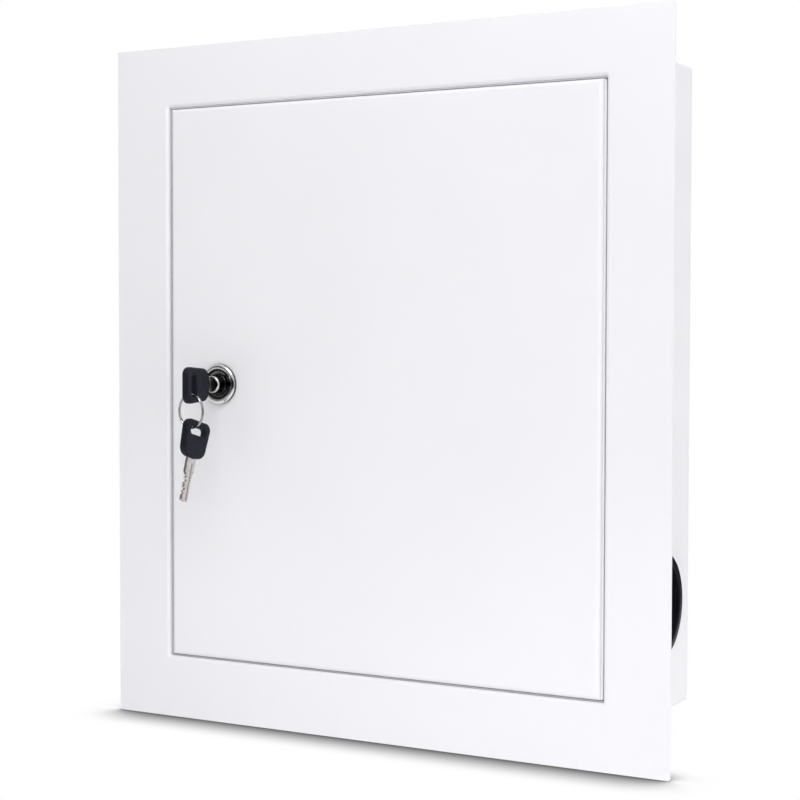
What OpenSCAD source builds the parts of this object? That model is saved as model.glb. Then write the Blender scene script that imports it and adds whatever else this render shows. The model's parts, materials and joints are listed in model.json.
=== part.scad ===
// Recessed steel wall enclosure: a folded back box, a wide front frame with an inset
// hinged door, a cam lock with its key, and a spare key on a split ring.
// Millimetres. Seen from the room, X runs right, Y into the wall and Z up.
// The origin is the centre of the back wall's outer face.

/* [Back box] */
// Width of the box behind the frame
box_w = 350; // [320:1:450]
// Height of the box behind the frame
box_h = 400; // [340:1:550]
// Depth from the back wall's outer face to the box's front edge
box_depth = 98.5; // [85:0.5:150]
// Thickness of the box sheet
box_t = 1.2; // [1:0.1:1.5]
// Outside radius of the box's bends
box_bend_r = 2.5; // [2:0.1:3]
// Width of the return flange round the open front
box_flange_w = 10; // [9.5:0.1:10.5]
// Diameter of the wall fixing holes in the back
wall_hole_d = 7; // [5:0.5:9]
// Distance between the wall fixing holes across the width
wall_hole_pitch_x = 280; // [240:1:300]
// Distance between the wall fixing holes up the height
wall_hole_pitch_z = 350; // [336:1:360]

/* [Front frame] */
// Thickness of the frame sheet
frame_t = 1.5; // [1.2:0.1:1.8]
// How far the frame laps over the wall at each side
overlap_side = 25; // [15:0.5:40]
// How far the frame laps over the wall at the top
overlap_top = 23; // [15:0.5:40]
// How far the frame laps over the wall at the bottom
overlap_bottom = 27; // [15:0.5:40]
// Distance inside the box's outer face at which each side of the opening stands
opening_inset_side = 17; // [15:0.5:30]
// Distance inside the box's outer face at which the top of the opening stands
opening_inset_top = 16.5; // [14:0.5:30]
// Distance inside the box's outer face at which the bottom of the opening stands
opening_inset_bottom = 14; // [13.5:0.5:30]
// Depth of the lip folded back round the opening, from the front face
lip_depth = 18; // [17:0.5:24]
// Outside radius of the lip's bend
lip_bend_r = 2.5; // [2:0.1:3]
// Radius of the opening's corners
opening_corner_r = 1; // [0.5:0.5:6]
// Width of the strike flange that the cam latches behind
strike_w = 8; // [6:0.5:12]
// Diameter of the rubber buffers on the strike flange
buffer_d = 7; // [5:0.5:7.5]

/* [Door] */
// Gap between the door and the frame at each side
door_gap_side = 2.2; // [2:0.1:4]
// Gap between the door and the frame at the top and at the bottom
door_gap_ends = 1.4; // [1.2:0.1:4]
// Thickness of the door sheet
door_t = 1.2; // [1:0.1:1.5]
// Depth of the door's folded edges, from its front face
door_depth = 14; // [12:0.5:14]
// Outside radius of the door's edges
door_edge_r = 3; // [2:0.1:3.5]

/* [Hinges] */
// Distance from the door's hinge edge to the hinge axis
hinge_inset = 6.5; // [6.3:0.1:8]
// Distance from the door's front face to the hinge axis
hinge_setback = 6.5; // [6:0.1:6.7]
// Diameter of the hinge pins
pin_d = 5; // [4:0.1:5.2]
// Diameter of the pins' heads
pin_head_d = 8; // [7:0.1:8]
// Outside diameter of the nylon bushes
bush_d = 7; // [6.4:0.1:8]
// Diameter of the bushes' flanges, which lie inside the door
bush_flange_d = 10; // [9:0.1:10.4]
// Length of a bush
bush_l = 5; // [3.5:0.5:8]

/* [Lock] */
// Distance from the door's free edge to the lock axis
lock_inset = 39.3; // [30:0.1:60]
// Diameter of the lock's threaded body
lock_body_d = 19; // [18:0.1:20]
// Distance across the flats of the lock's body
lock_flats = 16; // [15.2:0.1:17]
// Diameter of the chrome bezel
bezel_d = 27; // [25:0.1:30]
// Height of the bezel above the door
bezel_h = 2.6; // [2:0.1:4]
// Diameter of the plug inside the body
plug_d = 12; // [11:0.1:12.5]
// Diameter of the plug's nose
nose_d = 11; // [10:0.1:11.6]
// How far the nose stands out from the door
nose_l = 9.5; // [6:0.1:12]
// Width of the keyway
keyway_w = 2.4; // [2.3:0.1:3]
// Height of the keyway
keyway_h = 6.4; // [6.2:0.1:8]
// Length of the cam, from the lock axis to its tip
cam_l = 44; // [40:0.5:48]
// Width of the cam's arm
cam_w = 14; // [11:0.5:16]
// Thickness of the cam
cam_t = 2.5; // [2:0.1:3]
// Gap between the strike flange and the cam
cam_clearance = 0.8; // [0.6:0.1:1.5]
// Side of the square that drives the cam
cam_square = 7; // [6.5:0.1:8]
// Diameter of the cam's screw
cam_screw_d = 4.8; // [4:0.1:5]

/* [Keys] */
// Length of a key's moulded head
head_l = 25.1; // [22:0.1:28]
// Width of a key's head
head_w = 23.8; // [21.5:0.1:26]
// Thickness of a key's head
head_t = 5.2; // [4.6:0.1:6.5]
// Length of the slot in a key's head
slot_l = 14.2; // [12.8:0.1:15]
// Width of the slot in a key's head
slot_w = 4.8; // [4.6:0.1:6]
// Distance from the head's end to the middle of its slot
slot_back = 7; // [6.5:0.1:8]
// Width of a key's shank
shank_w = 8; // [7:0.1:9]
// Length of a key's shank, from its head to its shoulder
shank_l = 9.5; // [8:0.1:14]
// Width of a key's bitted blade
blade_w = 5.8; // [5:0.1:6]
// Length of a key's bitted blade
blade_l = 18.8; // [15:0.1:20]
// Thickness of a key's blade
blade_t = 2; // [1.6:0.1:2.1]
// Inside radius of the split ring
ring_inner_r = 10.3; // [9.6:0.1:12]
// Width of the split ring's wire
ring_wire = 1.2; // [1:0.1:1.4]
// Thickness of the split ring's two turns together
ring_turns_t = 1.6; // [1.2:0.1:1.8]
// Turn of the hanging split ring about the vertical
ring_turn = 10.8; // [0:0.2:12]
// Tilt of the hanging spare key from the vertical
spare_tilt = 16; // [6:0.5:18]
// Turn of the hanging spare key about the vertical
spare_twist = 5; // [0:1:12]

/* [Cable entries] */
// Diameter of the cable holes in the box's sides
entry_d = 57; // [52:0.5:58]
// Outside diameter of the grommets' flanges
grommet_d = 66.4; // [62:0.2:70]
// Height of a cable hole's centre above the box's bottom
entry_height = 67.2; // [50:0.2:120]
// Distance from the back to a cable hole's centre
entry_back = 51.4; // [42:0.2:58]

/* [Fittings inside] */
// Width of the mounting plate
plate_w = 290; // [250:1:310]
// Height of the mounting plate
plate_h = 320; // [300:1:326]
// Thickness of the mounting plate
plate_t = 2; // [1.5:0.1:3]
// Distance that the plate stands off the back wall
plate_standoff = 8; // [5:0.5:15]
// Diameter of the plate's studs and of the earth studs
stud_d = 6; // [5:0.5:6]
// Distance from the plate's edges to its studs
plate_stud_inset = 15; // [10:1:20]
// Diameter of the frame's weld studs
frame_stud_d = 4; // [3:0.5:4]
// Length of the frame's weld studs
frame_stud_l = 10; // [8:0.5:14]

/* [Hidden] */
$fn = 64;

// Colours
powder_white = [0.93, 0.93, 0.95];
zinc = [0.74, 0.76, 0.78];
chrome = [0.86, 0.87, 0.88];
brass = [0.80, 0.66, 0.36];
nickel = [0.76, 0.72, 0.70];
rubber_black = [0.05, 0.05, 0.06];
nylon_grey = [0.80, 0.80, 0.78];
plastic_black = [0.10, 0.10, 0.12];

// Clearances
run_gap = 0.3;     // between faces that slide or turn past each other
fit_gap = 0.05;    // round a shaft in its hole
cut = 1;           // how far a cutting tool runs past a face

// Frame and opening
front_y = -(box_depth + frame_t);
frame_w = box_w + 2 * overlap_side;
frame_top = box_h / 2 + overlap_top;
frame_bottom = -box_h / 2 - overlap_bottom;
frame_h = frame_top - frame_bottom;
frame_z = (frame_top + frame_bottom) / 2;
frame_corner_r = 1;
opening_w = box_w - 2 * opening_inset_side;
opening_top = box_h / 2 - opening_inset_top;
opening_bottom = -box_h / 2 + opening_inset_bottom;
opening_h = opening_top - opening_bottom;
opening_z = (opening_top + opening_bottom) / 2;
lip_back_y = front_y + lip_depth;
strike_relief = 24;
strike_h = opening_h - 2 * strike_relief;

// Door
door_w = opening_w - 2 * door_gap_side;
door_h = opening_h - 2 * door_gap_ends;
door_right = door_w / 2;
door_top = opening_z + door_h / 2;
door_bottom = opening_z - door_h / 2;
door_inner_y = front_y + door_t;
door_back_y = front_y + door_depth;
door_corner_r = max(0.3, opening_corner_r - door_gap_ends);

// Hinges
hinge_x = door_right - hinge_inset;
hinge_y = front_y + hinge_setback;
pin_head_h = 2.5;
bush_flange_bevel = door_edge_r - door_t;
bush_flange_t = bush_flange_bevel + 0.4;
pin_shoulder_t = door_gap_ends - run_gap;

// Lock, in its own frame: X right, Y up, Z out of the door from its front face
lock_x = -door_w / 2 + lock_inset;
lock_z = opening_z;
lock_body_l = lip_depth + cam_clearance - run_gap;
lock_washer_t = 1;
lock_nut_t = 4;
lock_nut_af = 24;
dish_r = 9.8;
dish_floor = 1.2;
collar_r = plug_d / 2 + 0.7;
collar_t = 0.8;
cam_front = -lip_depth - cam_clearance;
cam_hub_d = 18;
cam_washer_t = 1.2;
cam_screw_af = 8;
cam_screw_head_t = 3.5;
cam_screw_l = 6.2;
screw_hole_end = cam_front - cam_t + cam_screw_l - cam_washer_t;
keyway_end = screw_hole_end + 1;

// Keys, in the same frame
blade_end = keyway_end + 1;
key_shoulder = blade_end + blade_l;
key_out = key_shoulder + shank_l;
head_edge_r = 1.5;
head_end_r = 5;
head_shank_r = 6.5;
head_shank_w = head_w - 2;
tang_l = 11;
tang_w = shank_w - 1;
slot_z = key_out + head_l - slot_back;
bit_depths = [1.1, 1.6, 0.7, 1.4, 0.9];
bit_start = 2.4;
bit_pitch = 2.8;
groove_w = 1.2;
groove_depth = 0.45;

// Split ring: hangs on the strip of head below the slot
ring_r = ring_inner_r + ring_wire / 2;
ring_seat_gap = 0.5;
strip_corner_x = head_t / 2 - head_edge_r;
strip_corner_y = -slot_l / 2 - head_edge_r;
strip_reach = ring_inner_r - ring_seat_gap - head_edge_r;
ring_y = strip_corner_y - sqrt(strip_reach * strip_reach - strip_corner_x * strip_corner_x);
ring_bottom_y = ring_y - ring_r;
spare_seat = slot_w / 2 - ring_wire / 2 - run_gap - 0.4;
spare_seat_side = slot_l / 2 - slot_w / 2 + 0.45;

// Cable entries
entry_z = -box_h / 2 + entry_height;
entry_y = -entry_back;
grommet_flange_t = 3;
grommet_inner_t = 2.5;

// Fittings inside
plate_back_y = -box_t - plate_standoff;
plate_front_y = plate_back_y - plate_t;
washer_t = 1.6;
nut_af = 10;
nut_t = 5;
standoff_d = 10;
plate_stud_l = box_t + plate_standoff + plate_t + washer_t + nut_t + 3;
plate_hole_d = stud_d + 0.6;
equipment_hole_d = 5.5;
equipment_pitch_x = 200;
equipment_pitch_z = 240;
slot_hole_l = 14;
slot_hole_w = 5;
frame_stud_inset = 6.2;
frame_nut_af = 7;
frame_nut_t = 3.2;
box_earth_x = -(plate_w / 2 + box_w / 2 - box_t) / 2;
box_earth_z = entry_z + grommet_d / 2 + 30;
door_earth_x = door_right - 32;
door_earth_z = door_bottom + 32;
earth_stud_l = 18;
door_earth_stud_l = 11.5;
buffer_h = lip_depth - frame_t - door_depth - run_gap;

// ---------- Shared shapes ----------

// Rounded rectangle, centred
module rounded_rect(w, h, r) {
    square([w - 2 * r, h], center = true);
    square([w, h - 2 * r], center = true);
    for (x = [-1, 1], y = [-1, 1])
        translate([x * (w / 2 - r), y * (h / 2 - r)])
            circle(r = r);
}

// Draws its children with their Z along the enclosure's +Y
module into_wall() {
    rotate([-90, 0, 0]) children();
}

// Block with rounded corners, centred on X and Z, from y = 0 to y = d
module rounded_block(w, h, d, r) {
    into_wall() linear_extrude(d) rounded_rect(w, h, r);
}

// The four long edges and four corners that round one end of a block, centred on y = 0
module end_rounding(w, h, r) {
    for (x = [-1, 1])
        translate([x * (w / 2 - r), 0, 0])
            cylinder(r = r, h = h - 2 * r, center = true);
    for (z = [-1, 1])
        translate([0, 0, z * (h / 2 - r)])
            rotate([0, 90, 0])
                cylinder(r = r, h = w - 2 * r, center = true);
    for (x = [-1, 1], z = [-1, 1])
        translate([x * (w / 2 - r), 0, z * (h / 2 - r)])
            sphere(r = r);
}

// Cross-section of a sheet folded at both sides, from y = 0 to y = d
module folded_section(w, d, r) {
    translate([-w / 2, r]) square([w, d - r]);
    translate([-w / 2 + r, 0]) square([w - 2 * r, r + 0.01]);
    for (x = [-1, 1])
        translate([x * (w / 2 - r), r]) circle(r = r);
}

// Folded pan with mitred front edges and corner_r at its corners, from y = 0 to y = d
module pan_shape(w, h, d, r, corner_r) {
    intersection() {
        linear_extrude(h, center = true) folded_section(w, d, r);
        rotate([0, 90, 0]) linear_extrude(w, center = true) folded_section(h, d, r);
        rounded_block(w, h, d, corner_r);
    }
}

// Case shape with all its edges rounded, from y = 0 to y = d
module case_shape(w, h, d, r) {
    translate([0, r, 0]) rounded_block(w, h, d - 2 * r, r);
    translate([0, d / 2, 0]) cube([w - 2 * r, d, h - 2 * r], center = true);
    for (y = [r, d - r])
        translate([0, y, 0]) end_rounding(w, h, r);
}

// Hexagon prism, across flats af, from z = 0 to z = t
module hexagon(af, t) {
    cylinder(d = af / cos(30), h = t, $fn = 6);
}

// Places its children on the lock axis, with Z out of the door from its front face
module at_lock() {
    translate([lock_x, front_y, lock_z]) rotate([90, 0, 0]) children();
}

// Places its children at the four corners of a pattern in the XZ plane
module at_corners(pitch_x, pitch_z) {
    for (x = [-1, 1], z = [-1, 1])
        translate([x * pitch_x / 2, 0, z * pitch_z / 2]) children();
}

// Places its children at the eight weld studs that join frame and box
module at_frame_studs() {
    for (x = [-1, 1], z = [-1, 1])
        translate([x * (box_w / 2 - frame_stud_inset), 0, z * box_h / 4]) children();
    for (x = [-1, 1], z = [-1, 1])
        translate([x * box_w / 4, 0, z * (box_h / 2 - frame_stud_inset)]) children();
}

// ---------- Back box ----------

module back_box() {
    color(powder_white)
    difference() {
        translate([0, -box_depth, 0])
            case_shape(box_w, box_h, box_depth, box_bend_r);
        translate([0, -box_depth + box_t, 0])
            case_shape(box_w - 2 * box_t, box_h - 2 * box_t, box_depth - 2 * box_t, box_bend_r - box_t);
        translate([0, -box_depth - cut, 0])
            rounded_block(box_w - 2 * box_flange_w, box_h - 2 * box_flange_w, 2 * cut + box_t, 2);
        translate([0, entry_y, entry_z])
            rotate([0, 90, 0])
                cylinder(d = entry_d, h = box_w + 2 * cut, center = true, $fn = 96);
        at_corners(wall_hole_pitch_x, wall_hole_pitch_z)
            into_wall() translate([0, 0, -box_t - cut]) cylinder(d = wall_hole_d, h = box_t + 2 * cut);
        translate([0, -box_depth - cut, 0]) at_frame_studs()
            into_wall() cylinder(d = frame_stud_d + 0.5, h = box_t + 2 * cut);
    }
}

// ---------- Front frame ----------

// Cross-section of the lip's bend, from the front face to the lip, for a bend at r from the Z axis,
// with short straight ends that lie inside the flange and the lip
module bend_section(r) {
    overlap = 0.6;
    translate([r + lip_bend_r, 0]) {
        difference() {
            translate([-lip_bend_r, -lip_bend_r]) square(lip_bend_r);
            circle(r = lip_bend_r - frame_t);
            difference() {
                translate([-lip_bend_r - cut, -lip_bend_r - cut]) square(lip_bend_r + cut);
                circle(r = lip_bend_r);
            }
        }
        translate([-lip_bend_r, 0]) square([frame_t, overlap]);
        translate([0, -lip_bend_r]) square([overlap, frame_t]);
    }
}

// The bend that joins the flange to the lip, all round the opening, starting at y = 0
module lip_bend() {
    r = opening_corner_r;
    straight_w = opening_w - 2 * r;
    straight_h = opening_h - 2 * r;
    translate([0, lip_bend_r, 0]) {
        for (s = [0, 180])
            rotate([0, s, 0])
                translate([straight_w / 2, 0, -straight_h / 2])
                    linear_extrude(straight_h) bend_section(r);
        for (s = [0, 180])
            rotate([0, s + 90, 0])
                translate([straight_h / 2, 0, -straight_w / 2])
                    linear_extrude(straight_w) bend_section(r);
        for (c = [0 : 3])
            translate([(c == 0 || c == 3 ? 1 : -1) * straight_w / 2, 0, (c < 2 ? 1 : -1) * straight_h / 2])
                rotate([0, -90 * c, 0])
                    rotate([-90, 0, 0])
                        rotate([0, 0, -90])
                            rotate_extrude(angle = 90) bend_section(r);
    }
}

module lip_tube() {
    difference() {
        rounded_block(opening_w + 2 * frame_t, opening_h + 2 * frame_t,
                      lip_depth - lip_bend_r, opening_corner_r + frame_t);
        translate([0, -cut, 0])
            rounded_block(opening_w, opening_h, lip_depth + 2 * cut, opening_corner_r);
    }
}

// Flange turned in from the free side of the lip, behind which the cam latches
module strike_flange() {
    translate([-opening_w / 2 - frame_t, lip_back_y - frame_t, opening_z - strike_h / 2])
        cube([strike_w + frame_t, frame_t, strike_h]);
}

module front_frame() {
    color(powder_white)
    difference() {
        union() {
            translate([0, front_y, frame_z])
                difference() {
                    rounded_block(frame_w, frame_h, frame_t, frame_corner_r);
                    translate([0, -cut, opening_z - frame_z])
                        rounded_block(opening_w + 2 * lip_bend_r, opening_h + 2 * lip_bend_r,
                                      frame_t + 2 * cut, opening_corner_r + lip_bend_r);
                }
            translate([0, front_y, opening_z]) lip_bend();
            translate([0, front_y + lip_bend_r, opening_z]) lip_tube();
            strike_flange();
        }
        translate([hinge_x, hinge_y, opening_z])
            cylinder(d = pin_d + 2 * fit_gap, h = opening_h + 4 * frame_t, center = true);
    }
}

module frame_studs() {
    color(zinc)
    translate([0, -box_depth, 0]) at_frame_studs()
        into_wall() cylinder(d = frame_stud_d, h = frame_stud_l);
}

module frame_nuts() {
    color(zinc)
    translate([0, -box_depth + box_t, 0]) at_frame_studs()
        into_wall() difference() {
            hexagon(frame_nut_af, frame_nut_t);
            translate([0, 0, -cut]) cylinder(d = frame_stud_d + 2 * fit_gap, h = frame_nut_t + 2 * cut);
        }
}

// Two round rubber pads on the strike flange, which the door's edge closes on
module door_buffers() {
    color(rubber_black)
    for (z = [-1, 1])
        translate([-opening_w / 2 + strike_w / 2, lip_back_y - frame_t, opening_z + z * opening_h / 3])
            rotate([90, 0, 0]) {
                cylinder(d = buffer_d, h = buffer_h - 0.4);
                cylinder(d = buffer_d - 0.8, h = buffer_h);
            }
}

// ---------- Hinges ----------

// Headed pin through the lip, pointing down from z = 0 at the lip's inner face
module hinge_pin() {
    pin_reach = door_gap_ends + bush_l + 1;
    translate([0, 0, -pin_reach]) cylinder(d = pin_d, h = pin_reach + frame_t + pin_head_h);
    translate([0, 0, -pin_reach - 0.8]) cylinder(d1 = pin_d - 1.6, d2 = pin_d, h = 0.8);
    translate([0, 0, -pin_shoulder_t]) cylinder(d = bush_d, h = pin_shoulder_t);
    translate([0, 0, frame_t]) cylinder(d = pin_head_d, h = pin_head_h);
}

// Nylon bush through the door's edge, flush outside, with its flange under the sheet,
// bevelled to clear the sheet's bends
module hinge_bush() {
    difference() {
        union() {
            translate([0, 0, -bush_l]) cylinder(d = bush_d, h = bush_l);
            translate([0, 0, -door_t - bush_flange_t])
                cylinder(d = bush_flange_d, h = bush_flange_t - bush_flange_bevel);
            translate([0, 0, -door_t - bush_flange_bevel])
                cylinder(d1 = bush_flange_d, d2 = bush_flange_d - 2 * bush_flange_bevel, h = bush_flange_bevel);
        }
        bore_l = max(bush_l, door_t + bush_flange_t);
        translate([0, 0, -bore_l - cut]) cylinder(d = pin_d + 2 * fit_gap, h = bore_l + 2 * cut);
    }
}

module hinge_pin_upper() {
    color(zinc) translate([hinge_x, hinge_y, opening_top]) hinge_pin();
}

module hinge_pin_lower() {
    color(zinc) translate([hinge_x, hinge_y, opening_bottom]) mirror([0, 0, 1]) hinge_pin();
}

module hinge_bush_upper() {
    color(nylon_grey) translate([hinge_x, hinge_y, door_top]) hinge_bush();
}

module hinge_bush_lower() {
    color(nylon_grey) translate([hinge_x, hinge_y, door_bottom]) mirror([0, 0, 1]) hinge_bush();
}

// ---------- Door ----------

// The lock body's round section with two flats, widened by gap all round
module lock_body_section(gap) {
    intersection() {
        circle(d = lock_body_d + 2 * gap);
        square([lock_body_d + 4 * gap, lock_flats + 2 * gap], center = true);
    }
}

module door_panel() {
    color(powder_white)
    difference() {
        translate([0, front_y, opening_z])
            pan_shape(door_w, door_h, door_depth, door_edge_r, door_corner_r);
        translate([0, door_inner_y, opening_z])
            pan_shape(door_w - 2 * door_t, door_h - 2 * door_t, door_depth + cut, door_edge_r - door_t,
                      max(0.3, door_corner_r - door_t));
        translate([hinge_x, hinge_y, opening_z])
            cylinder(d = bush_d + 2 * fit_gap, h = door_h + 2 * cut, center = true);
        at_lock() translate([0, 0, -door_t - cut])
            linear_extrude(door_t + 2 * cut) lock_body_section(0.1);
    }
}

// ---------- Lock ----------

module lock_housing() {
    edge = 0.9;
    color(chrome)
    at_lock()
    difference() {
        union() {
            rotate_extrude() polygon([
                [0, 0], [bezel_d / 2, 0], [bezel_d / 2, bezel_h - 2 * edge],
                [bezel_d / 2 - 0.3 * edge, bezel_h - edge], [bezel_d / 2 - edge, bezel_h - 0.35 * edge],
                [bezel_d / 2 - 1.8 * edge, bezel_h], [dish_r + 0.5, bezel_h],
                [dish_r, bezel_h - 0.4], [dish_r - 0.6, dish_floor], [0, dish_floor]
            ]);
            translate([0, 0, -lock_body_l])
                linear_extrude(lock_body_l) lock_body_section(0);
        }
        translate([0, 0, -lock_body_l - cut])
            cylinder(d = plug_d + 2 * fit_gap, h = lock_body_l + bezel_h + 2 * cut);
    }
}

module lock_washer() {
    color(zinc)
    at_lock() translate([0, 0, -door_t - lock_washer_t])
        difference() {
            cylinder(d = bezel_d - 1, h = lock_washer_t);
            translate([0, 0, -cut]) cylinder(d = lock_body_d + 0.4, h = lock_washer_t + 2 * cut);
        }
}

module lock_nut() {
    color(zinc)
    at_lock() translate([0, 0, -door_t - lock_washer_t - lock_nut_t])
        difference() {
            hexagon(lock_nut_af, lock_nut_t);
            translate([0, 0, -cut]) cylinder(d = lock_body_d + 2 * fit_gap, h = lock_nut_t + 2 * cut);
        }
}

module lock_plug() {
    nose_edge = 0.6;
    plug_floor = dish_floor + 2 * fit_gap;
    color(chrome)
    at_lock()
    difference() {
        union() {
            translate([0, 0, cam_front]) cylinder(d = plug_d, h = plug_floor - cam_front);
            translate([0, 0, plug_floor]) cylinder(r = collar_r, h = collar_t);
            cylinder(d = nose_d, h = nose_l - nose_edge);
            translate([0, 0, nose_l - nose_edge])
                cylinder(d1 = nose_d, d2 = nose_d - 2 * nose_edge, h = nose_edge);
            translate([0, 0, cam_front - cam_t / 2])
                cube([cam_square, cam_square, cam_t], center = true);
        }
        translate([-keyway_w / 2, -keyway_h / 2, keyway_end])
            cube([keyway_w, keyway_h, nose_l - keyway_end + cut]);
        translate([-keyway_w / 2, -shank_w / 2 - 0.2, key_shoulder - run_gap])
            cube([keyway_w, shank_w + 0.4, nose_l - key_shoulder + run_gap + cut]);
        translate([0, 0, cam_front - cam_t - cut])
            cylinder(d = cam_screw_d + 2 * fit_gap, h = cam_screw_l - cam_washer_t + cut);
    }
}

module lock_cam() {
    tip_r = 4;
    color(zinc)
    at_lock() translate([0, 0, cam_front - cam_t])
        difference() {
            union() {
                cylinder(d = cam_hub_d, h = cam_t);
                translate([-cam_w / 2, -cam_l + tip_r, 0]) cube([cam_w, cam_l - tip_r, cam_t]);
                translate([-cam_w / 2 + tip_r, -cam_l, 0]) cube([cam_w - 2 * tip_r, cam_l, cam_t]);
                for (x = [-1, 1])
                    translate([x * (cam_w / 2 - tip_r), -cam_l + tip_r, 0]) cylinder(r = tip_r, h = cam_t);
            }
            translate([0, 0, cam_t / 2])
                cube([cam_square + 2 * fit_gap, cam_square + 2 * fit_gap, cam_t + 2 * cut], center = true);
        }
}

module cam_washer() {
    color(zinc)
    at_lock() translate([0, 0, cam_front - cam_t - cam_washer_t])
        difference() {
            cylinder(d = 13, h = cam_washer_t);
            translate([0, 0, -cut]) cylinder(d = cam_screw_d + 0.4, h = cam_washer_t + 2 * cut);
        }
}

module cam_screw() {
    head_z = cam_front - cam_t - cam_washer_t;
    color(zinc)
    at_lock() {
        translate([0, 0, head_z - cam_screw_head_t]) hexagon(cam_screw_af, cam_screw_head_t);
        translate([0, 0, head_z]) cylinder(d = cam_screw_d, h = cam_screw_l - 1);
    }
}

// ---------- Keys ----------

// Moulded head with softened edges, from z = 0 at the shank to z = head_l; its plate is normal to X
module head_body() {
    hull()
        for (a = [0 : 30 : 90]) {
            inset = head_edge_r * (1 - cos(a));
            t = head_t - 2 * head_edge_r * (1 - sin(a));
            for (y = [-1, 1]) {
                translate([0, y * (head_w / 2 - head_end_r), head_l - head_end_r])
                    rotate([0, 90, 0]) cylinder(r = head_end_r - inset, h = t, center = true, $fn = 40);
                translate([0, y * (head_shank_w / 2 - head_shank_r), head_shank_r + 0.8])
                    rotate([0, 90, 0]) cylinder(r = head_shank_r - inset, h = t, center = true, $fn = 40);
            }
            translate([0, 0, head_end_r])
                rotate([0, 90, 0]) cylinder(r = head_end_r - inset, h = t, center = true, $fn = 40);
        }
}

// Half of the slot's cross-section, from its middle out, flared at both faces of the head
function slot_flare(half) = [
    for (s = [-1, 1])
        for (a = s < 0 ? [90 : -15 : 0] : [0 : 15 : 90])
            [half + head_edge_r * (1 - cos(a)), s * (head_t / 2 - head_edge_r + head_edge_r * sin(a))]
];

module slot_cutter() {
    half = slot_w / 2;
    reach = slot_l / 2 - half;
    section = concat([[0, -head_t / 2 - cut]], [[half + head_edge_r, -head_t / 2 - cut]],
                     slot_flare(half), [[half + head_edge_r, head_t / 2 + cut]], [[0, head_t / 2 + cut]]);
    rotate([0, 90, 0]) {
        for (y = [-reach, reach])
            translate([0, y, 0]) rotate_extrude() polygon(section);
        for (m = [0, 1])
            mirror([m, 0, 0])
                rotate([90, 0, 0]) linear_extrude(2 * reach, center = true) polygon(section);
    }
}

module key_head_shape() {
    difference() {
        head_body();
        translate([0, 0, head_l - slot_back]) slot_cutter();
        translate([0, 0, tang_l / 2 - cut / 2])
            cube([blade_t + 2 * fit_gap, tang_w + 2 * fit_gap, tang_l + cut], center = true);
    }
}

// Tang, shank and bitted blade, with the head's face at z = 0
module key_blade_shape() {
    tip_r = 1.6;
    difference() {
        union() {
            translate([-blade_t / 2, -tang_w / 2, -1]) cube([blade_t, tang_w, tang_l + 0.9]);
            translate([-blade_t / 2, -shank_w / 2, -shank_l]) cube([blade_t, shank_w, shank_l]);
            translate([-blade_t / 2, -blade_w / 2, -shank_l - blade_l + tip_r])
                cube([blade_t, blade_w, blade_l - tip_r + 1]);
            translate([-blade_t / 2, -blade_w / 2 + tip_r, -shank_l - blade_l])
                cube([blade_t, blade_w - 2 * tip_r, blade_l]);
            for (y = [-1, 1])
                translate([0, y * (blade_w / 2 - tip_r), -shank_l - blade_l + tip_r])
                    rotate([0, 90, 0]) cylinder(r = tip_r, h = blade_t, center = true);
        }
        for (i = [0 : len(bit_depths) - 1])
            translate([0, -blade_w / 2, -shank_l - bit_start - i * bit_pitch])
                rotate([0, 90, 0]) rotate([0, 0, 45])
                    cube([bit_depths[i] * sqrt(2), bit_depths[i] * sqrt(2), blade_t + 2 * cut], center = true);
        for (x = [-1, 1])
            translate([x * blade_t / 2, 0.9, -shank_l / 2 - blade_l / 2 - cut])
                cube([2 * groove_depth, groove_w, shank_l + blade_l - 4], center = true);
    }
}

module at_key() {
    at_lock() translate([0, 0, key_out]) children();
}

// Places its children as the spare key, hung by its slot on the bottom of the ring
module at_spare() {
    at_lock()
        translate([0, ring_bottom_y, slot_z])
            rotate([0, -spare_twist, 0])
                rotate([-90 - spare_tilt, 0, 0])
                    translate([0, spare_seat_side, -(head_l - slot_back + spare_seat)])
                        children();
}

module key_head() {
    color(plastic_black) at_key() key_head_shape();
}

module key_blade() {
    color(nickel) at_key() key_blade_shape();
}

// Two turns of flattened wire, with the split line as a groove round the outside
module key_ring() {
    half = ring_turns_t / 2;
    soft = 0.25;
    color(chrome)
    at_lock() translate([0, ring_y, slot_z]) rotate([0, -ring_turn, 0])
        rotate_extrude($fn = 96) polygon([
            [ring_inner_r + soft, -half], [ring_inner_r + ring_wire - soft, -half],
            [ring_inner_r + ring_wire, -half + soft], [ring_inner_r + ring_wire, -soft / 2],
            [ring_inner_r + ring_wire - soft, 0], [ring_inner_r + ring_wire, soft / 2],
            [ring_inner_r + ring_wire, half - soft], [ring_inner_r + ring_wire - soft, half],
            [ring_inner_r + soft, half], [ring_inner_r, half - soft], [ring_inner_r, -half + soft]
        ]);
}

module spare_key_head() {
    color(plastic_black) at_spare() key_head_shape();
}

module spare_key_blade() {
    color(nickel) at_spare() key_blade_shape();
}

// ---------- Cable entries ----------

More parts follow.
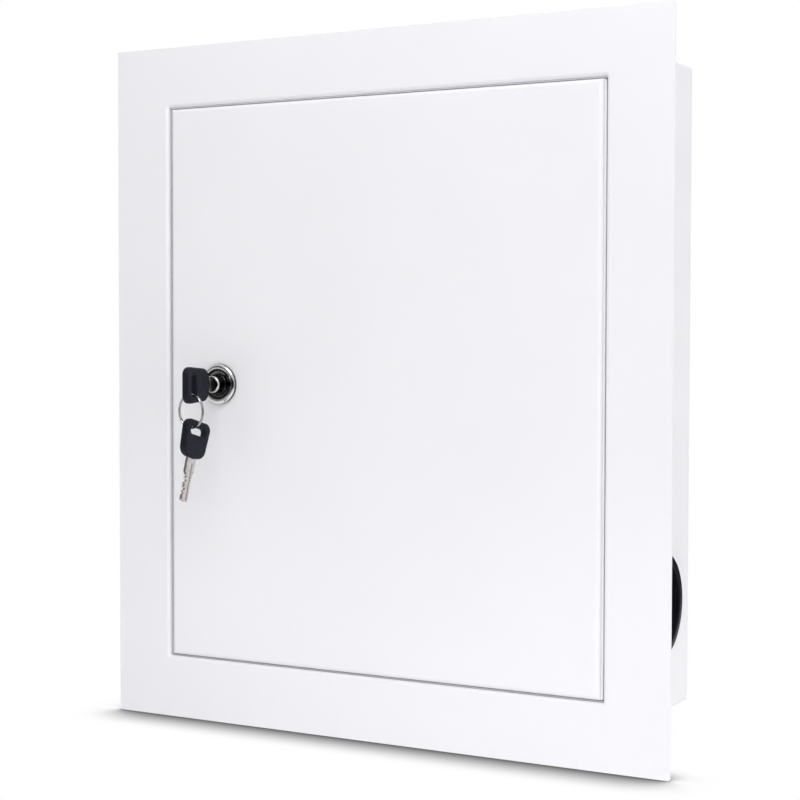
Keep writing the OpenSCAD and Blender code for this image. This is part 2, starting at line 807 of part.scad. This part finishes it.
// Membrane grommet on the Z axis, seated in a sheet that lies from z = -box_t to z = 0
module grommet() {
    r = grommet_d / 2;
    hole = entry_d / 2;
    wall = 2;
    neck = hole - fit_gap;
    color(rubber_black)
    rotate_extrude($fn = 96) polygon([
        [0, -2.4], [6, -2.4], [6.6, -1.2], [10.5, -1.2], [11.3, -2.8], [15.5, -2.8], [16.3, -1.2],
        [20, -1.2], [20.8, -2.8], [neck - wall - 0.6, -2.8], [neck - wall, -2],
        [neck - wall + 0.5, grommet_flange_t - 0.8], [neck - wall + 1.4, grommet_flange_t],
        [r - 1.6, grommet_flange_t - 0.2], [r - 0.5, grommet_flange_t - 1.1], [r, 0], [neck, 0], [neck, -box_t],
        [neck + 1.8, -box_t], [neck + 1.2, -box_t - grommet_inner_t],
        [neck - wall, -box_t - grommet_inner_t], [neck - wall - 0.6, -4], [20.4, -4],
        [19.6, -2.4], [16.7, -2.4], [15.9, -4], [10.9, -4], [10.1, -2.4], [7, -2.4], [6.4, -3.6], [0, -3.6]
    ]);
}

module cable_grommet_right() {
    translate([box_w / 2, entry_y, entry_z]) rotate([0, 90, 0]) grommet();
}

module cable_grommet_left() {
    translate([-box_w / 2, entry_y, entry_z]) rotate([0, -90, 0]) grommet();
}

// ---------- Fittings inside ----------

module at_plate_studs() {
    at_corners(plate_w - 2 * plate_stud_inset, plate_h - 2 * plate_stud_inset) children();
}

module plate_slot() {
    into_wall() translate([0, 0, -cut])
        linear_extrude(plate_t + 2 * cut) rounded_rect(slot_hole_l, slot_hole_w, slot_hole_w / 2 - 0.01);
}

module mounting_plate() {
    color(zinc)
    difference() {
        translate([0, plate_front_y, 0]) rounded_block(plate_w, plate_h, plate_t, 6);
        translate([0, plate_front_y - cut, 0]) at_plate_studs()
            into_wall() cylinder(d = plate_hole_d, h = plate_t + 2 * cut);
        translate([0, plate_front_y - cut, 0]) at_corners(equipment_pitch_x, equipment_pitch_z)
            into_wall() cylinder(d = equipment_hole_d, h = plate_t + 2 * cut);
        translate([0, plate_front_y, 0])
            for (x = [-1 : 1], z = [-2 : 2])
                translate([x * equipment_pitch_x / 3, 0, z * equipment_pitch_z / 5]) plate_slot();
    }
}

module plate_studs() {
    color(zinc)
    at_plate_studs() rotate([90, 0, 0]) {
        translate([0, 0, box_t]) cylinder(d = standoff_d, h = plate_standoff);
        translate([0, 0, box_t]) cylinder(d = stud_d, h = plate_stud_l - box_t);
    }
}

// Flat washer on the Z axis for the M6 studs, from z = 0
module flat_washer() {
    difference() {
        cylinder(d = 2 * stud_d, h = washer_t);
        translate([0, 0, -cut]) cylinder(d = stud_d + 0.4, h = washer_t + 2 * cut);
    }
}

// Hexagon nut on the Z axis for the M6 studs, from z = 0
module stud_nut() {
    difference() {
        hexagon(nut_af, nut_t);
        translate([0, 0, -cut]) cylinder(d = stud_d + 2 * fit_gap, h = nut_t + 2 * cut);
    }
}

module plate_washers() {
    color(zinc)
    at_plate_studs() translate([0, plate_front_y, 0]) rotate([90, 0, 0]) flat_washer();
}

module plate_nuts() {
    color(zinc)
    at_plate_studs() translate([0, plate_front_y - washer_t, 0]) rotate([90, 0, 0]) stud_nut();
}

// Places its children on the box's earth stud, with Z out of the back wall's inner face
module at_box_earth() {
    translate([box_earth_x, -box_t, box_earth_z]) rotate([90, 0, 0]) children();
}

// Places its children on the door's earth stud, with Z out of the door's inner face
module at_door_earth() {
    translate([door_earth_x, door_inner_y, door_earth_z]) rotate([-90, 0, 0]) children();
}

module box_earth_stud() {
    color(brass) at_box_earth() cylinder(d = stud_d, h = earth_stud_l);
}

module box_earth_washer() {
    color(brass) at_box_earth() flat_washer();
}

module box_earth_nut() {
    color(brass) at_box_earth() translate([0, 0, washer_t]) stud_nut();
}

module door_earth_stud() {
    color(brass) at_door_earth() cylinder(d = stud_d, h = door_earth_stud_l);
}

module door_earth_washer() {
    color(brass) at_door_earth() flat_washer();
}

module door_earth_nut() {
    color(brass) at_door_earth() translate([0, 0, washer_t]) stud_nut();
}

back_box();
front_frame();
frame_studs();
frame_nuts();
door_buffers();
hinge_pin_upper();
hinge_pin_lower();
cable_grommet_right();
cable_grommet_left();
mounting_plate();
plate_studs();
plate_washers();
plate_nuts();
box_earth_stud();
box_earth_washer();
box_earth_nut();
door_panel();
hinge_bush_upper();
hinge_bush_lower();
door_earth_stud();
door_earth_washer();
door_earth_nut();
lock_housing();
lock_washer();
lock_nut();
lock_plug();
lock_cam();
cam_washer();
cam_screw();
key_head();
key_blade();
key_ring();
spare_key_head();
spare_key_blade();
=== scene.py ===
"""Looks of a recessed steel wall enclosure: materials, edging round the door, stage, light and camera.

Every CAD solid stays and gets a procedural material. Lengths are in metres: x runs to the right,
z up, and the enclosure faces -y. Places come from the frame wherever they depend on the object.
"""

from collections import namedtuple
import math

import bmesh
import bpy
from mathutils import Matrix, Vector
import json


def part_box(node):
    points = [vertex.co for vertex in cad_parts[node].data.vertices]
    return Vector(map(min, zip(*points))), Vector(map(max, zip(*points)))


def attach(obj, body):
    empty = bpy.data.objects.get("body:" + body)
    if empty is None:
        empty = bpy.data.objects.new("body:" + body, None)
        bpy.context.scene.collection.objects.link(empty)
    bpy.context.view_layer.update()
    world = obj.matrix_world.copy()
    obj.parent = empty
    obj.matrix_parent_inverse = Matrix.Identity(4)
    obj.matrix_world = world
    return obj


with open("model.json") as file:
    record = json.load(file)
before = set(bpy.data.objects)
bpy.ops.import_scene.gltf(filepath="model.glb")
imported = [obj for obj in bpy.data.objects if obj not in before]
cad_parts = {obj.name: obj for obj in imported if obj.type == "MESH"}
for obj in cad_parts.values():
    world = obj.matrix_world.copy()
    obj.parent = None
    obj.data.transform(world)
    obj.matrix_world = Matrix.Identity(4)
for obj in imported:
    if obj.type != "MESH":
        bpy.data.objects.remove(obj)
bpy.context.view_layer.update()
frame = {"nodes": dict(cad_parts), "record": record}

MM = 0.001

# ---------------------------------------------------------------- places from the frame

frame_lo, frame_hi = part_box("front_frame")
door_lo, door_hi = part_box("door_panel")
FRAME_CENTRE = (frame_lo + frame_hi) / 2
FRONT_Y = frame_lo.y
FLOOR_Z = frame_lo.z

# ---------------------------------------------------------------- edging round the door

# The running gap between the door and the opening, at its sides and at its top and bottom
DOOR_GAP_SIDE = 2.2 * MM
DOOR_GAP_ENDS = 1.4 * MM

# How far a strip starts behind the front, how far it reaches into the gap, how deep it goes
# inwards, and the radius of its nose
Edging = namedtuple("Edging", "setback reach depth nose")
TOP_EDGING = Edging(2.2 * MM, 1.12 * MM, 4 * MM, 0.25 * MM)
BOTTOM_EDGING = Edging(2.6 * MM, 1.12 * MM, 4 * MM, 0.25 * MM)
LOCK_SIDE_EDGING = Edging(3.3 * MM, 1.6 * MM, 4 * MM, 0.25 * MM)
HINGE_SIDE_EDGING = Edging(2.7 * MM, 1.2 * MM, 1.6 * MM, 0.6 * MM)
NOSE_POINTS = 5

# How far the strips stop short of the corners at the lock side and at the hinge side
LOCK_CORNER_SPACE = 1 * MM
HINGE_CORNER_SPACE = 0.3 * MM

# Where a strip passes a hinge pin it is a blade of this depth, and tapers to it over this length
NOTCH_BLADE = 0.4 * MM
NOTCH_TAPER = 0.2 * MM

# ---------------------------------------------------------------- camera

CAMERA_AZIMUTH = math.radians(29.11)
CAMERA_ELEVATION = math.radians(2.22)
CAMERA_ROLL = math.radians(0.11)
CAMERA_DISTANCE = 1.1053
CAMERA_LENS = 79.54
CAMERA_SENSOR = 36
CAMERA_CLIP_START = 0.01
CAMERA_CLIP_END = 100
# The camera looks at the front, a little right of its middle and a little below it
CAMERA_AIM = Vector((0.0204, FRONT_Y, FRAME_CENTRE.z - 0.0070))

# ---------------------------------------------------------------- stage

FLOOR_HALF = 30
TABLE_COLOUR = (0.9, 0.9, 0.9, 1)
# Reflections lose the table between these distances from the origin and see the backdrop beyond
TABLE_FADE = (0.5, 0.9)

# Painted contact shadow, seen by the camera on the floor: its reach, how open the floor is where it
# is darkest and where it ends, and how dark it is at its darkest
CONTACT_REACH = 0.042
CONTACT_OPENNESS = (0.5, 0.96)
CONTACT_DARKEST = 0.105
CONTACT_SAMPLES = 16
# Beside the box the photo shows no shadow, so the painted shadow fades out to the right and to the back
CONTACT_END_X = (frame_hi.x - 0.07, frame_hi.x - 0.035)
CONTACT_END_Y = (FRONT_Y + 0.005, FRONT_Y + 0.03)

# The surroundings are pale grey and light the object a little less from the left
SKY_COLOUR = (0.8, 0.8, 0.8, 1)
SKY_LEFT = 0.60
SKY_RIGHT = 0.84

# Dark studio flags, seen only in reflections: the way to each from the object, and the cosines
# of the angle from it where the flag is at its darkest and where it has faded out
Flag = namedtuple("Flag", "towards dark clear")
FLAG_DARKEST = 0.02
FLAGS = (
    Flag((0.10, -0.99, -0.02), 0.960, 0.93),
    Flag((0.42, -0.91, -0.02), 0.955, 0.93),
    Flag((0.72, -0.66, -0.04), 0.955, 0.93),
    Flag((-0.55, -0.74, 0.30), 0.955, 0.925),
    Flag((0.40, 0.91, -0.05), 0.93, 0.86),
)

# ---------------------------------------------------------------- shader nodes

# Most of a noise texture's values lie in this range
NOISE_RANGE = (0.3, 0.7)

# A Mix node's sockets share their names, so they go by number: for colours, then for numbers
COLOUR_A = 6
COLOUR_B = 7
COLOUR_RESULT = 2
NUMBER_A = 2
NUMBER_B = 3
NUMBER_RESULT = 0


class Graph:
    """The shader nodes of one material or world."""

    def __init__(self, tree):
        self.tree = tree

    def add(self, kind, **settings):
        node = self.tree.nodes.new(kind)
        for name, value in settings.items():
            setattr(node, name, value)
        return node

    def link(self, output, socket):
        self.tree.links.new(output, socket)

    def spread(self, value, low, high, span=NOISE_RANGE, kind="LINEAR"):
        """Goes from low to high as value goes through span."""
        node = self.add("ShaderNodeMapRange", interpolation_type=kind)
        self.link(value, node.inputs["Value"])
        node.inputs["From Min"].default_value = span[0]
        node.inputs["From Max"].default_value = span[1]
        node.inputs["To Min"].default_value = low
        node.inputs["To Max"].default_value = high
        return node.outputs["Result"]

    def calculate(self, operation, first, second):
        node = self.add("ShaderNodeMath", operation=operation)
        self.link(first, node.inputs[0])
        self.link(second, node.inputs[1])
        return node.outputs["Value"]

    def mix_shaders(self, share, first, second):
        """Goes from the first shader to the second as share goes from 0 to 1."""
        node = self.add("ShaderNodeMixShader")
        self.link(share, node.inputs["Fac"])
        self.link(first, node.inputs[1])
        self.link(second, node.inputs[2])
        return node.outputs["Shader"]


class Finish(Graph):
    """A procedural material of the object, built on its Principled shader."""

    def __init__(self, name):
        self.material = bpy.data.materials.new(name)
        self.material.use_nodes = True
        super().__init__(self.material.node_tree)
        self.shader = self.tree.nodes["Principled BSDF"]
        self.place = self.add("ShaderNodeTexCoord").outputs["Object"]

    def noise(self, size, detail):
        """Noise with features about size metres across."""
        node = self.add("ShaderNodeTexNoise")
        self.link(self.place, node.inputs["Vector"])
        node.inputs["Scale"].default_value = 1 / size
        node.inputs["Detail"].default_value = detail
        return node.outputs["Fac"]

    def tint(self, value, low, high, span=NOISE_RANGE):
        """Goes from the colour low to the colour high as value goes through span."""
        mix = self.add("ShaderNodeMix", data_type="RGBA")
        self.link(self.spread(value, 0, 1, span), mix.inputs["Factor"])
        mix.inputs[COLOUR_A].default_value = (*low, 1)
        mix.inputs[COLOUR_B].default_value = (*high, 1)
        return mix.outputs[COLOUR_RESULT]

    def base(self, colour):
        self.link(colour, self.shader.inputs["Base Color"])

    def rough(self, value):
        self.link(value, self.shader.inputs["Roughness"])

    def bump(self, height, depth, under=None):
        """Raises the surface by up to depth metres, on top of the normal under."""
        node = self.add("ShaderNodeBump")
        node.inputs["Strength"].default_value = 1
        node.inputs["Distance"].default_value = depth
        self.link(height, node.inputs["Height"])
        if under:
            self.link(under, node.inputs["Normal"])
        self.link(node.outputs["Normal"], self.shader.inputs["Normal"])
        return node.outputs["Normal"]

    def set(self, socket, number):
        self.shader.inputs[socket].default_value = number


# ---------------------------------------------------------------- materials


def powder_coat():
    """White powder coat, faintly cool, with a fine orange peel under a soft gloss."""
    coat = Finish("powder_coat")
    coat.base(coat.tint(coat.noise(size=0.12, detail=2), (0.864, 0.857, 0.888), (0.884, 0.877, 0.908)))
    coat.rough(coat.spread(coat.noise(size=0.03, detail=3), low=0.36, high=0.44))
    peel = coat.bump(coat.noise(size=0.0022, detail=2), depth=12e-6)
    coat.bump(coat.noise(size=0.0006, detail=1), depth=4e-6, under=peel)
    coat.set("IOR", 1.5)
    return coat.material


def galvanised():
    """Galvanised sheet with its spangle of crystal patches."""
    sheet = Finish("galvanised")
    cells = sheet.add("ShaderNodeTexVoronoi")
    sheet.link(sheet.place, cells.inputs["Vector"])
    patch_size = 0.009
    cells.inputs["Scale"].default_value = 1 / patch_size
    patch = sheet.add("ShaderNodeSeparateColor")
    sheet.link(cells.outputs["Color"], patch.inputs["Color"])
    patch_span = (0.1, 0.9)
    sheet.base(sheet.tint(patch.outputs["Red"], (0.60, 0.62, 0.64), (0.69, 0.71, 0.73), patch_span))
    sheet.rough(sheet.spread(patch.outputs["Green"], low=0.42, high=0.50, span=patch_span))
    sheet.bump(sheet.noise(size=0.0009, detail=3), depth=3e-6)
    sheet.set("Metallic", 1)
    return sheet.material


def chrome():
    """Polished chrome with softly rounded edges, and painted shade that darkens it deep in a recess."""
    plating = Finish("chrome")
    rounded = plating.add("ShaderNodeBevel", samples=6)
    rounded.inputs["Radius"].default_value = 0.0024
    # Painted shade: the base colour goes dark where ambient occlusion finds the chrome deep in a recess
    recess = plating.add("ShaderNodeAmbientOcclusion", samples=8)
    recess.inputs["Distance"].default_value = 0.008
    openness = plating.spread(recess.outputs["AO"], low=0.02, high=1, span=(0.72, 0.95))
    shade = plating.add("ShaderNodeCombineColor")
    for channel in ("Red", "Green", "Blue"):
        plating.link(openness, shade.inputs[channel])
    mottle_with_painted_shade = plating.add("ShaderNodeMix", data_type="RGBA", blend_type="MULTIPLY")
    mottle_with_painted_shade.inputs["Factor"].default_value = 1
    mottle = plating.tint(plating.noise(size=0.006, detail=3), (0.84, 0.84, 0.85), (0.90, 0.90, 0.91))
    plating.link(mottle, mottle_with_painted_shade.inputs[COLOUR_A])
    plating.link(shade.outputs["Color"], mottle_with_painted_shade.inputs[COLOUR_B])
    plating.base(mottle_with_painted_shade.outputs[COLOUR_RESULT])
    plating.rough(plating.spread(plating.noise(size=0.003, detail=4), low=0.05, high=0.09))
    plating.bump(plating.noise(size=0.0008, detail=3), depth=0.6e-6, under=rounded.outputs["Normal"])
    plating.set("Metallic", 1)
    return plating.material


def metal(name, low, high, rough, grain, depth):
    """Bare or plated metal, tinted from low to high, with a fine surface grain."""
    surface = Finish(name)
    surface.base(surface.tint(surface.noise(size=0.006, detail=3), low, high))
    surface.rough(surface.spread(surface.noise(size=grain * 4, detail=4), *rough))
    surface.bump(surface.noise(size=grain, detail=3), depth)
    surface.set("Metallic", 1)
    return surface.material


def plastic(name, low, high, rough, grain, depth, ior=1.48):
    """Moulded plastic or rubber, tinted from low to high, with a fine skin."""
    surface = Finish(name)
    surface.base(surface.tint(surface.noise(size=0.004, detail=2), low, high))
    surface.rough(surface.spread(surface.noise(size=grain * 5, detail=3), *rough))
    surface.bump(surface.noise(size=grain, detail=3), depth)
    surface.set("IOR", ior)
    return surface.material


MATERIALS = {
    "powder_coat": powder_coat(),
    "galvanised": galvanised(),
    "zinc": metal(
        "zinc", (0.60, 0.62, 0.65), (0.72, 0.73, 0.75),
        rough=(0.26, 0.38), grain=0.0005, depth=4e-6,
    ),
    "chrome": chrome(),
    "ring_wire": metal(
        "ring_wire", (0.34, 0.34, 0.36), (0.46, 0.46, 0.48),
        rough=(0.08, 0.16), grain=0.0006, depth=1e-6,
    ),
    "brass": metal(
        "brass", (0.74, 0.56, 0.27), (0.80, 0.64, 0.34),
        rough=(0.24, 0.34), grain=0.0004, depth=4e-6,
    ),
    "nickel": metal(
        "nickel", (0.62, 0.58, 0.56), (0.72, 0.68, 0.66),
        rough=(0.24, 0.36), grain=0.0003, depth=5e-6,
    ),
    "black_rubber": plastic(
        "black_rubber", (0.006, 0.006, 0.011), (0.011, 0.011, 0.018),
        rough=(0.20, 0.28), grain=0.0009, depth=2e-6, ior=1.17,
    ),
    "nylon": plastic(
        "nylon", (0.44, 0.45, 0.48), (0.50, 0.51, 0.54),
        rough=(0.42, 0.52), grain=0.0006, depth=5e-6,
    ),
    # The same nylon made paler for the top strip: painted light where the top gap lies in shade
    "nylon_painted_lighter": plastic(
        "nylon_painted_lighter", (0.64, 0.65, 0.68), (0.70, 0.71, 0.74),
        rough=(0.42, 0.52), grain=0.0006, depth=5e-6,
    ),
    "key_plastic": plastic(
        "key_plastic", (0.005, 0.006, 0.012), (0.010, 0.011, 0.019),
        rough=(0.40, 0.50), grain=0.0004, depth=6e-6, ior=1.27,
    ),
}

# The split ring is in the chrome slot too, but it is drawn wire, duller than the polished lock
OWN_FINISH = {"key_ring": "ring_wire"}


def dress_nodes():
    """Gives each CAD node its own finish, or else that of its material slot."""
    for part in frame["record"]["subparts"]:
        node = frame["nodes"][part["node"]]
        finish = OWN_FINISH.get(part["node"], part["material_slot"])
        for slot in node.material_slots:
            slot.material = MATERIALS[finish]


# ---------------------------------------------------------------- edging pieces


def strip_section(edging, depth):
    """Outline of a strip across its run, as pairs of height and depth: nose, back and foot."""
    section = []
    for point in range(NOSE_POINTS):
        turn = math.pi / 2 * point / (NOSE_POINTS - 1)
        height = edging.reach - edging.nose + edging.nose * math.sin(turn)
        section.append((height, edging.nose - edging.nose * math.cos(turn)))
    return section + [(edging.reach, depth), (0, depth), (0, 0)]


def swept_mesh(name, rings):
    """Closed mesh through rings of points, all of the same length."""
    count = len(rings[0])
    vertices = [point for ring in rings for point in ring]
    last = len(vertices) - count
    faces = []
    for first in range(0, last, count):
        for i in range(count):
            a = first + i
            b = first + (i + 1) % count
            faces.append((a, b, b + count, a + count))
    faces.append(tuple(range(count)))
    faces.append(tuple(reversed(range(last, len(vertices)))))
    mesh = bpy.data.meshes.new(name)
    mesh.from_pydata(vertices, [], faces)
    work = bmesh.new()
    work.from_mesh(mesh)
    bmesh.ops.recalc_face_normals(work, faces=work.faces)
    work.to_mesh(mesh)
    work.free()
    return mesh


def add_strip(name, body, material, edging, start, end, towards, notch=None):
    """Adds a strip of edging, seen as the light line round the door.

    It runs from start to end, both (x, z), and stands up towards a direction. In the stretch
    notch, given as two distances from start, it is cut back to clear a hinge pin.
    """
    face_y = FRONT_Y + edging.setback
    start = Vector((start[0], face_y, start[1]))
    end = Vector((end[0], face_y, end[1]))
    along = (end - start).normalized()
    stations = [(0, edging.depth), ((end - start).length, edging.depth)]
    if notch:
        low, high = notch
        stations[1:1] = [
            (low - NOTCH_TAPER, edging.depth),
            (low, NOTCH_BLADE),
            (high, NOTCH_BLADE),
            (high + NOTCH_TAPER, edging.depth),
        ]
    rings = []
    for distance, depth in stations:
        foot = start + along * distance
        rings.append([
            foot + Vector(towards) * height + Vector((0, inward, 0))
            for height, inward in strip_section(edging, depth)
        ])
    mesh = swept_mesh(name, rings)
    mesh.materials.append(MATERIALS[material])
    piece = bpy.data.objects.new(name, mesh)
    bpy.context.scene.collection.objects.link(piece)
    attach(piece, body)


def make_edging():
    """Edging on three sides of the opening, and on the door's own edge at the hinge side."""
    pin_lo, pin_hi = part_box("hinge_pin_upper")
    right = door_hi.x + DOOR_GAP_SIDE
    left = -right
    top = door_hi.z + DOOR_GAP_ENDS
    bottom = door_lo.z - DOOR_GAP_ENDS
    run_left = left + LOCK_CORNER_SPACE
    run_right = right - HINGE_CORNER_SPACE
    notch = (pin_lo.x - run_left, pin_hi.x - run_left)
    # The top strip takes the paler nylon, painted light for the shade of the top gap
    add_strip(
        "seal_top", body="cabinet", material="nylon_painted_lighter", edging=TOP_EDGING,
        start=(run_left, top), end=(run_right, top), towards=(0, 0, -1), notch=notch,
    )
    add_strip(
        "seal_bottom", body="cabinet", material="nylon", edging=BOTTOM_EDGING,
        start=(run_left, bottom), end=(run_right, bottom), towards=(0, 0, 1), notch=notch,
    )
    add_strip(
        "seal_lock_side", body="cabinet", material="nylon", edging=LOCK_SIDE_EDGING,
        start=(left, bottom + LOCK_CORNER_SPACE), end=(left, top - LOCK_CORNER_SPACE), towards=(1, 0, 0),
    )
    fin_low = door_lo.z + HINGE_CORNER_SPACE
    fin_high = door_hi.z - HINGE_CORNER_SPACE
    add_strip(
        "seal_hinge_side", body="door", material="powder_coat",
        edging=HINGE_SIDE_EDGING,
        start=(door_hi.x, fin_low), end=(door_hi.x, fin_high), towards=(1, 0, 0),
    )


# ---------------------------------------------------------------- floor


def shown_floor(graph, place):
    """What the camera sees: white, with a painted contact shadow, a soft dark line where the enclosure
    meets the floor.
    """
    near = graph.add("ShaderNodeAmbientOcclusion", samples=CONTACT_SAMPLES)
    near.inputs["Distance"].default_value = CONTACT_REACH
    shade = graph.spread(near.outputs["AO"], CONTACT_DARKEST, 1, CONTACT_OPENNESS)
    split = graph.add("ShaderNodeSeparateXYZ")
    graph.link(place, split.inputs["Vector"])
    beside = graph.spread(split.outputs["X"], 0, 1, CONTACT_END_X, "SMOOTHSTEP")
    behind = graph.spread(split.outputs["Y"], 0, 1, CONTACT_END_Y, "SMOOTHSTEP")
    painted_contact_shadow = graph.add("ShaderNodeMix", data_type="FLOAT")
    graph.link(graph.calculate("MULTIPLY", beside, behind), painted_contact_shadow.inputs["Factor"])
    graph.link(shade, painted_contact_shadow.inputs[NUMBER_A])
    painted_contact_shadow.inputs[NUMBER_B].default_value = 1
    seen = graph.add("ShaderNodeEmission")
    graph.link(painted_contact_shadow.outputs[NUMBER_RESULT], seen.inputs["Strength"])
    return seen.outputs["Emission"]


def table_top(graph, place, is_reflection):
    """What lights and mirrors the object: a white table, beyond which reflections see the backdrop."""
    white = graph.add("ShaderNodeBsdfDiffuse")
    white.inputs["Color"].default_value = TABLE_COLOUR
    open_air = graph.add("ShaderNodeBsdfTransparent")
    distance = graph.add("ShaderNodeVectorMath", operation="LENGTH")
    graph.link(place, distance.inputs[0])
    far = graph.spread(distance.outputs["Value"], 0, 1, TABLE_FADE, "SMOOTHSTEP")
    gone = graph.calculate("MULTIPLY", far, is_reflection)
    return graph.mix_shaders(gone, white.outputs["BSDF"], open_air.outputs["BSDF"])


def make_floor():
    """White floor, which shows the camera one thing and the object another."""
    material = bpy.data.materials.new("floor")
    material.use_nodes = True
    graph = Graph(material.node_tree)
    graph.tree.nodes.clear()
    place = graph.add("ShaderNodeTexCoord").outputs["Object"]
    path = graph.add("ShaderNodeLightPath")
    table = table_top(graph, place, path.outputs["Is Glossy Ray"])
    shown = shown_floor(graph, place)
    surface = graph.mix_shaders(path.outputs["Is Camera Ray"], table, shown)
    out = graph.add("ShaderNodeOutputMaterial")
    graph.link(surface, out.inputs["Surface"])

    mesh = bpy.data.meshes.new("floor")
    corners = [(-1, -1), (1, -1), (1, 1), (-1, 1)]
    mesh.from_pydata([(x * FLOOR_HALF, y * FLOOR_HALF, 0) for x, y in corners], [], [(0, 1, 2, 3)])
    mesh.materials.append(material)
    floor = bpy.data.objects.new("floor", mesh)
    floor.location = (0, 0, FLOOR_Z)
    bpy.context.scene.collection.objects.link(floor)


# ---------------------------------------------------------------- surroundings, lights and camera


def flag_shade(graph, towards_sky):
    """Strength of what reflections see: 1, and dark at the middle of each flag."""
    shade = None
    for flag in FLAGS:
        dot = graph.add("ShaderNodeVectorMath", operation="DOT_PRODUCT")
        graph.link(towards_sky, dot.inputs[0])
        dot.inputs[1].default_value = Vector(flag.towards).normalized()
        span = (flag.clear, flag.dark)
        patch = graph.spread(dot.outputs["Value"], 1, FLAG_DARKEST, span, "SMOOTHSTEP")
        shade = graph.calculate("MULTIPLY", shade, patch) if shade else patch
    return shade


def sky(graph, strength):
    """Pale surroundings, as strong as a node's output says."""
    background = graph.add("ShaderNodeBackground")
    background.inputs["Color"].default_value = SKY_COLOUR
    graph.link(strength, background.inputs["Strength"])
    return background.outputs["Background"]


def make_world():
    """Pale surroundings to light the object, dark flags to reflect, and plain white to look at."""
    world = bpy.data.worlds.new("studio")
    bpy.context.scene.world = world
    world.use_nodes = True
    graph = Graph(world.node_tree)
    towards_sky = graph.add("ShaderNodeTexCoord").outputs["Generated"]
    split = graph.add("ShaderNodeSeparateXYZ")
    graph.link(towards_sky, split.inputs["Vector"])
    path = graph.add("ShaderNodeLightPath").outputs

    fill = sky(graph, graph.spread(split.outputs["X"], SKY_LEFT, SKY_RIGHT, (-1, 1)))
    reflected = sky(graph, flag_shade(graph, towards_sky))
    around = graph.mix_shaders(path["Is Glossy Ray"], fill, reflected)

    white = graph.tree.nodes["Background"]
    white.inputs["Color"].default_value = (1, 1, 1, 1)
    white.inputs["Strength"].default_value = 1
    in_view = graph.calculate("MAXIMUM", path["Is Camera Ray"], path["Is Transmission Ray"])
    surface = graph.mix_shaders(in_view, around, white.outputs["Background"])
    graph.link(surface, graph.tree.nodes["World Output"].inputs["Surface"])


def add_softbox(name, place, aim, size, power, mirrored=False):
    """Adds a lamp as wide and high as size, which shows in reflections only if mirrored."""
    data = bpy.data.lights.new(name, "AREA")
    data.shape = "RECTANGLE"
    data.size, data.size_y = size
    data.energy = power
    lamp = bpy.data.objects.new(name, data)
    lamp.visible_glossy = mirrored
    lamp.location = place
    lamp.rotation_euler = (Vector(aim) - Vector(place)).to_track_quat("-Z", "Y").to_euler()
    bpy.context.scene.collection.objects.link(lamp)


def make_lights():
    add_softbox(
        "over_softbox", place=(0.30, -0.75, 1.0), aim=(0.15, -0.15, -0.1),
        size=(0.9, 0.4), power=5.2, mirrored=True,
    )
    add_softbox(
        "side_softbox", place=(1.5, -0.25, 0.11), aim=(0.17, -0.05, -0.02),
        size=(0.8, 1.0), power=6.6,
    )
    add_softbox(
        "back_softbox", place=(-0.3, 1.5, 0.7), aim=(0, 0, 0),
        size=(1.0, 1.0), power=6.0,
    )
    add_softbox(
        "high_strip", place=(0.12, -0.42, 0.46), aim=(0.06, -0.1, 0.16),
        size=(0.9, 0.2), power=0.40,
    )
    add_softbox(
        "low_strip", place=(0.12, -0.36, FLOOR_Z + 0.014), aim=(0.06, -0.1, FLOOR_Z + 0.037),
        size=(0.9, 0.03), power=0.24,
    )


def make_camera():
    backwards = Vector((
        math.sin(CAMERA_AZIMUTH) * math.cos(CAMERA_ELEVATION),
        -math.cos(CAMERA_AZIMUTH) * math.cos(CAMERA_ELEVATION),
        math.sin(CAMERA_ELEVATION),
    ))
    data = bpy.data.cameras.new("camera")
    data.lens = CAMERA_LENS
    data.sensor_width = CAMERA_SENSOR
    data.clip_start = CAMERA_CLIP_START
    data.clip_end = CAMERA_CLIP_END
    camera = bpy.data.objects.new("camera", data)
    bpy.context.scene.collection.objects.link(camera)
    place = Matrix.Translation(CAMERA_AIM + backwards * CAMERA_DISTANCE)
    turn = (-backwards).to_track_quat("-Z", "Y").to_matrix().to_4x4()
    roll = Matrix.Rotation(CAMERA_ROLL, 4, "Z")
    camera.matrix_world = place @ turn @ roll
    bpy.context.scene.camera = camera


make_camera()
dress_nodes()
make_edging()
make_floor()
make_world()
make_lights()

bpy.context.scene.view_settings.view_transform = "Standard"
